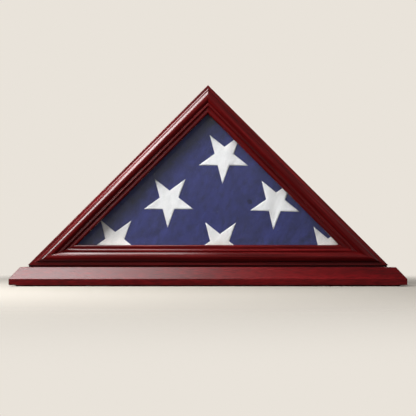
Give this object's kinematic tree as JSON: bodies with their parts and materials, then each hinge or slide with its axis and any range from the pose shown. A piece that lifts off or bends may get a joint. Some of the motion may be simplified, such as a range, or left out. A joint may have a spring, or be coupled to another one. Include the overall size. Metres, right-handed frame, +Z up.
{
  "type": "folded flag display case",
  "caption": "Triangular glazed display case of mitred moulding on a bevelled plinth, with a lift-out back held by turn buttons, holding a flag folded into a triangle.",
  "frame": {"origin": "middle of the floor under the plinth's pads", "axes": "+Z up, +X to the right seen from the front, glass faces -Y"},
  "size_m": [0.718, 0.113, 0.3678],
  "materials": {
    "stained_wood": "satin lacquer over red-brown stain",
    "bare_wood": "unfinished",
    "pad_felt": "pressed felt",
    "clear_glass": "clear float glass",
    "flag_cloth": "woven cotton",
    "star_cloth": "stitched cotton",
    "back_board": "smooth hardboard",
    "liner_cloth": "short velvet",
    "brass_plate": "brass-plated steel",
    "zinc_steel": "bright zinc"
  },
  "bodies": {
    "case": {"base_plinth": "stained_wood", "foot_board": "stained_wood", "felt_pad_left": "pad_felt", "felt_pad_right": "pad_felt", "base_screws": "zinc_steel", "glass_pane": "clear_glass", "folded_flag": "flag_cloth", "flag_stars": "star_cloth", "turn_button_screws": "brass_plate", "dring_screws": "zinc_steel", "mitre_vnails": "zinc_steel", "wall_brads": "zinc_steel", "frame_pins": "zinc_steel", "wall_left": "stained_wood", "rail_left": "stained_wood", "glass_stop_left": "bare_wood", "wall_right": "stained_wood", "rail_right": "stained_wood", "glass_stop_right": "bare_wood", "wall_bottom": "stained_wood", "rail_bottom": "stained_wood", "glass_stop_bottom": "bare_wood", "dring_strap_left": "zinc_steel", "dring_strap_right": "zinc_steel"},
    "back": {"back_panel": "back_board", "back_liner": "liner_cloth"},
    "ring_left": {"dring_left": "zinc_steel"},
    "ring_right": {"dring_right": "zinc_steel"},
    "button_left_upper": {"turn_button_left_upper": "brass_plate"},
    "button_left_lower": {"turn_button_left_lower": "brass_plate"},
    "button_right_upper": {"turn_button_right_upper": "brass_plate"},
    "button_right_lower": {"turn_button_right_lower": "brass_plate"},
    "button_bottom_left": {"turn_button_bottom_left": "brass_plate"},
    "button_bottom_right": {"turn_button_bottom_right": "brass_plate"}
  },
  "joints": [
    {"name": "back_lift_out", "type": "slide", "parent": "case", "child": "back", "axis": [0, 1, 0], "range_m": [0, 0.15]},
    {"name": "button_left_upper_turn", "type": "hinge", "parent": "case", "child": "button_left_upper", "pos_m": [-0.04928, 0.0526, 0.30862], "axis": [0, -1, 0], "range_deg": [0, 90]},
    {"name": "button_left_lower_turn", "type": "hinge", "parent": "case", "child": "button_left_lower", "pos_m": [-0.2402, 0.0526, 0.1177], "axis": [0, -1, 0], "range_deg": [0, 90]},
    {"name": "button_right_upper_turn", "type": "hinge", "parent": "case", "child": "button_right_upper", "pos_m": [0.04928, 0.0526, 0.30862], "axis": [0, 1, 0], "range_deg": [0, 90]},
    {"name": "button_right_lower_turn", "type": "hinge", "parent": "case", "child": "button_right_lower", "pos_m": [0.2402, 0.0526, 0.1177], "axis": [0, 1, 0], "range_deg": [0, 90]},
    {"name": "button_bottom_left_turn", "type": "hinge", "parent": "case", "child": "button_bottom_left", "pos_m": [-0.15, 0.0526, 0.0448], "axis": [0, -1, 0], "range_deg": [0, 90]},
    {"name": "button_bottom_right_turn", "type": "hinge", "parent": "case", "child": "button_bottom_right", "pos_m": [0.15, 0.0526, 0.0448], "axis": [0, 1, 0], "range_deg": [0, 90]},
    {"name": "ring_left_swing", "type": "hinge", "parent": "case", "child": "ring_left", "pos_m": [-0.11292, 0.0537, 0.24498], "axis": [0.7071, 0, -0.7071], "range_deg": [0, 170]},
    {"name": "ring_right_swing", "type": "hinge", "parent": "case", "child": "ring_right", "pos_m": [0.11292, 0.0537, 0.24498], "axis": [0.7071, 0, 0.7071], "range_deg": [0, 170]}
  ]
}
